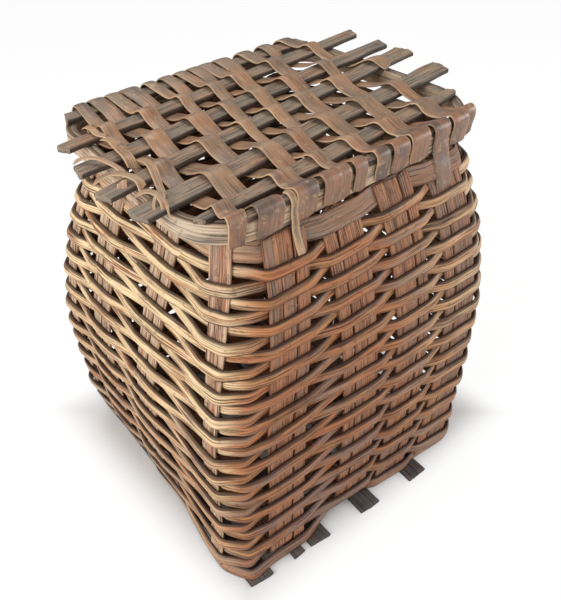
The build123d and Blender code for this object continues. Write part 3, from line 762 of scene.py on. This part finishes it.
# The width and the points of the torn ends that curl about the left end of the staves.
torn_ends = (
    (5.0, ((-117.4, 63.5, 300), (-115.4, 59.5, 304), (-113.8, 55.1, 304), (-114.3, 48.0, 303),
           (-110.3, 39.0, 303))),
    (7.0, ((-115.1, 42.2, 302), (-113.9, 31.5, 305), (-115.6, 20.7, 305), (-120.2, 0.3, 304),
           (-120.2, -3.2, 299))),
    (4.0, ((-146.0, 25.1, 302), (-139.4, 23.6, 304), (-133.7, 16.6, 305), (-131.1, 7.3, 305),
           (-129.6, -5.2, 304), (-129.9, -11.3, 302))),
    (5.0, ((-149.1, -0.5, 297), (-146.8, -3.2, 302), (-137.8, -5.7, 305), (-130.4, -13.5, 305),
           (-128.3, -22.5, 304), (-129.2, -27.2, 299))),
    (6.0, ((-134.2, -12.7, 304), (-137.9, -19.4, 299), (-135.9, -20.4, 290), (-132.7, -20.1, 282))),
    (5.0, ((-113.4, 3.3, 303), (-113.0, -8.4, 305), (-117.6, -23.5, 304), (-122.8, -34.8, 304),
           (-126.5, -43.9, 303))),
    (4.5, ((-137.9, -33.2, 300), (-135.5, -33.2, 304), (-131.1, -37.1, 305), (-129.9, -45.3, 304),
           (-131.4, -50.9, 303), (-132.3, -53.4, 297))),
    (1.5, ((-126.0, -37.0, 304), (-130.0, -42.0, 305), (-135.0, -46.0, 303), (-138.0, -51.0, 299))),
    (1.2, ((-124.0, -41.0, 304), (-128.0, -47.0, 304), (-131.0, -54.0, 301), (-133.0, -59.0, 297))),
)
torn_thickness = 0.7 * mm


def add_torn_ends(bundle):
    for number, (width, points) in enumerate(torn_ends):
        path = smooth_line(np.array(points) * mm, 1.2 * mm)
        sideways = np.cross(np.gradient(path, axis=0), (0, 0, 1))
        bundle.strand(path, sideways, width * mm, torn_thickness, seed=5700 + 10 * number,
                      columns=7, uneven=0.15, relief=0.05 * mm, ragged=2.5 * mm,
                      taper=(0.6, 0.6), edge_bark_and_shade=(0.8, 0.8), edge_reach=0.6 * mm,
                      bleach_and_light=0.5, age=0.3)


def strip_x(index, y):
    """Where a strip lies at y. The strips run straight over the lid, and their wraps hang down
    straight, but for the last one, which goes on slantwise."""
    share = (y - lid_front) / (lid_back - lid_front)
    if index < last_strip:
        share = np.clip(share, 0, 1)
    return strip_front_x[index] + (strip_back_x[index] - strip_front_x[index]) * share


def crossing(index, stave):
    """Where the middle of a strip meets the middle of a stave, in y, and half the stave's width."""
    y = 0.0
    for _ in range(6):
        y = stave_y(stave, strip_x(index, y))
    return y, stave_width(stave, strip_x(index, y)) / 2


def hoop_front(x):
    """The hoop's outline on the front side."""
    line = hoop_line(0.0, 0.0)
    line = line[line[:, 1] < 0]
    line = line[np.argsort(line[:, 0])]
    return np.interp(x, line[:, 0], line[:, 1])


def lay_strip(index):
    """The middle line of a strip as (y, z), from the front of the lid to its back."""
    first, last = short_strips.get(index, (0, last_stave))
    inner = abs(strip_front_x[index]) - strip_front_width[index] / 2
    front = hoop_front(np.sign(strip_front_x[index]) * inner) - strip_seat
    back = lid_back + strip_seat
    knots = []
    for stave in range(first, last + 1):
        y, half = crossing(index, stave)
        over = stave in (0, last_stave) or (stave + index) % 2 == 0
        level = stave_top + strip_seat if over else hoop_top - strip_seat
        if stave == 0:
            knots += [(front + shift, z) for shift, z in front_wrap]
            knots.append((y + half + 0.6 * mm, level + 0.9 * mm))
        elif stave == last_stave:
            knots.append((y - 0.9 * half, level + 0.6 * mm))
            knots += [(back + shift, z) for shift, z in back_wrap]
        else:
            rise = arch if over else -sag
            knots += [(y + share * half, level + rise * (1 - share ** 2) + 0.2 * mm)
                      for share in (-1, -0.5, 0, 0.5, 1)]
    if first > 0:
        y, z = knots[0]
        knots.insert(0, (y - cut_tail, z - (bent_down if index else 0)))
    if last < last_stave:
        knots += [(knots[-1][0] + past, hoop_top + rise) for past, rise in curl]
    return knots


# Both hinges hang from the lid's hoop and lie against the front wall. They bend at the rim.
hinge_y = rim_centre[1] - rim_half_depth - stake_thickness / 2 - 2 * strip_room - band_thickness - 0.65 * mm
hinge_knot = (hinge_y, stake_top + 2.5 * mm)
front_wall_half = 102 * mm          # from its middle to the middle of a corner, at the rim
right_tail = ((253, 0.9), (259, 1.1), (266, 2.7), (273, 3.5), (280, 3.7))


def hinge_tail(x, heights_and_reaches):
    """A hinge's part against the wall as (y, z), from heights and ways out from the wall in mm."""
    tail = []
    for z, reach in heights_and_reaches:
        spot, _, outward = wall([(x - rim_centre[0]) / (2 * front_wall_half) + 0.5], [z * mm])
        tail.append(((spot + outward * reach * mm)[0, 1], z * mm))
    return tail


def bend_at_rim(hinge):
    """Bakes the hinge's placing into its mesh."""
    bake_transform(hinge)


for index in range(len(strip_front_x)):
    knots = lay_strip(index)
    if index == hinge_strip:
        knots = hinge_tail(strip_front_x[index], right_tail) + [hinge_knot] + knots[1:]
    path = smooth_line([(strip_x(index, y), y, z) for y, z in knots], 1.6 * mm)
    drift = 0.8 * mm * wander(path[:, 1], 120 * mm, 5600 + index)
    path[:, 0] += drift * np.clip((path[:, 2] - lid_bottom) / (8 * mm), 0, 1)
    width_middle = (strip_front_width[index] + strip_back_width[index]) / 2
    width = np.interp(path[:, 1], (lid_front, 0.0, lid_back),
                      (strip_front_width[index], width_middle, strip_back_width[index]))
    strip = Bundle()
    if index == 0:
        add_torn_ends(strip)
    strip.strand(path, (-1, 0, 0), width, strip_thickness, seed=5400 + 30 * index, columns=11,
                 uneven=0.07, relief=0.03 * mm, ragged=1.5 * mm, cup=0.45 * mm,
                 edge_bark_and_shade=(0.62, 0.35 + 0.3 * (index % 2)), edge_reach=0.5 * mm,
                 bleach_and_light=0.3 * np.clip((path[:, 1] - lid_front - 4 * mm) / (20 * mm), 0, 1),
                 age=0.45 + 1.5 * np.clip((path[:, 1] - lid_back + 26 * mm) / (20 * mm), 0, 1))
    if index == hinge_strip:
        hinge = strip.piece("hinge_bark_2", bark_strip, None, "bark_strip",
                            f"lid_strip_{index + 1}", "hinge_tail_2")
        bend_at_rim(hinge)
    else:
        strip.piece(f"lid_bark_{index + 1}", bark_strip, "lid", "bark_strip",
                    f"lid_strip_{index + 1}")

# ---- Left hinge ----
# A narrow thong of the same bark is tied over the hoop and runs down on to the narrow stake
# below it, where its end was tucked into the weave.
thong_x = -69.0 * mm
thong_width = 6.0 * mm
thong_tail = ((262, 3.2), (267, 2.6), (274, 2.4), (280, 2.8))
thong_wrap = ((-strip_seat - 0.3 * mm, hoop_top - 6 * mm),
              (-strip_seat - 0.6 * mm, stave_top - 2.0 * mm),
              (2.4 * mm, stave_top + strip_seat + 1.2 * mm), (7.0 * mm, stave_top + strip_seat))
knots = hinge_tail(thong_x, thong_tail) + [hinge_knot]
knots += [(lid_front + shift, z) for shift, z in thong_wrap]
thong = Bundle()
thong.strand(smooth_line([(thong_x, y, z) for y, z in knots], 1.2 * mm), (-1, 0, 0), thong_width,
             strip_thickness, seed=5901, columns=9, uneven=0.07, relief=0.05 * mm,
             ragged=1.0 * mm, cup=0.3 * mm, edge_bark_and_shade=(0.9, 0.9), bleach_and_light=0.7, age=0.3)
hinge = thong.piece("hinge_bark_1", bark_strip, None, "bark_strip", "lid_thong", "hinge_tail_1")
bend_at_rim(hinge)

# ---- Floor, light and camera ----
# The creel stands on a plain pale floor in a white room under four soft boxes, and is seen from
# above its near corner. The floor takes the creel's shadow close by, and is plain white further off.
floor_half = 6.0
floor_mesh = bpy.data.meshes.new("floor")
floor_mesh.from_pydata([(-floor_half, -floor_half, 0), (floor_half, -floor_half, 0),
                        (floor_half, floor_half, 0), (-floor_half, floor_half, 0)], [], [(0, 1, 2, 3)])
floor = bpy.data.objects.new("floor", floor_mesh)
bpy.context.scene.collection.objects.link(floor)
shadow_across, shadow_along = (0.122, 0.165), (0.108, 0.150)
paper = Finish(bpy.data.materials.new("paper"))
place = paper.node("ShaderNodeNewGeometry")
across, along = (paper.node("ShaderNodeMath", {"operation": "ABSOLUTE"}, {
    0: paper.node("ShaderNodeSeparateXYZ", None, {0: place}, axis)}) for axis in (0, 1))
clear = paper.node("ShaderNodeMath", {"operation": "MAXIMUM"}, {
    0: paper.step(across, *shadow_across), 1: paper.step(along, *shadow_along)})
pale = paper.node("ShaderNodeBsdfDiffuse", None, {"Color": (0.80, 0.80, 0.79, 1)})
lit = paper.node("ShaderNodeEmission", None, {"Color": (1, 1, 1, 1), "Strength": 1.08})
seen = paper.node("ShaderNodeLightPath")
surface = paper.node("ShaderNodeMixShader", None, {0: 0.82 * seen * clear, 1: pale, 2: lit})
paper.node("ShaderNodeOutputMaterial", None, {"Surface": surface})
floor_mesh.materials.append(paper.owner)

studio = Finish(bpy.data.worlds.new("studio"))
white = studio.node("ShaderNodeBackground", None, {"Color": (1, 1, 1, 1), "Strength": 1.0})
soft = studio.node("ShaderNodeBackground", None, {"Color": (1, 1, 1, 1), "Strength": 0.34})
seen = studio.node("ShaderNodeLightPath")
room = studio.node("ShaderNodeMixShader", None, {0: seen, 1: soft, 2: white})
studio.node("ShaderNodeOutputWorld", None, {"Surface": room})
bpy.context.scene.world = studio.owner


def soft_box(name, place, target, size, power):
    """A square lamp at a place, turned to its target."""
    light = bpy.data.lights.new(name, "AREA")
    light.size = size
    light.energy = power
    made = bpy.data.objects.new(name, light)
    made.location = place
    x, y, z = np.array(place) - np.array(target)
    made.rotation_euler = (np.arctan2(np.hypot(x, y), z), 0, np.arctan2(y, x) + pi / 2)
    bpy.context.scene.collection.objects.link(made)


soft_box("key", (-1.25, -0.10, 0.75), (0, 0, 0.15), 0.9, 14.5)
soft_box("fill", (0.2, -1.4, 0.7), (0, 0, 0.15), 1.0, 3.9)
soft_box("side", (1.2, -0.75, 0.5), (0, 0, 0.15), 0.5, 7.5)
soft_box("top", (0.1, 0.5, 1.5), (0, 0, 0.2), 0.8, 6.5)

image_width, focal_length = 561, 761.06         # in pixels
camera = bpy.data.cameras.new("camera")
camera.sensor_fit = "HORIZONTAL"
camera.sensor_width = 36.0
camera.lens = camera.sensor_width * focal_length / image_width
camera.dof.use_dof = False
camera.clip_end = 50
eye = bpy.data.objects.new("camera", camera)
bpy.context.scene.collection.objects.link(eye)
eye_place = np.array([-325.8, -363.7, 529.2]) * mm
eye_target = np.array([-1.0, -4.2, 136.1]) * mm
eye_roll = radians(0.46)
eye.location = eye_place
eye.rotation_mode = "QUATERNION"
look = Vector(eye_target - eye_place).to_track_quat("-Z", "Y")
eye.rotation_quaternion = look @ Quaternion((0, 0, 1), eye_roll)
bpy.context.scene.camera = eye
bpy.context.scene.view_settings.view_transform = "Standard"
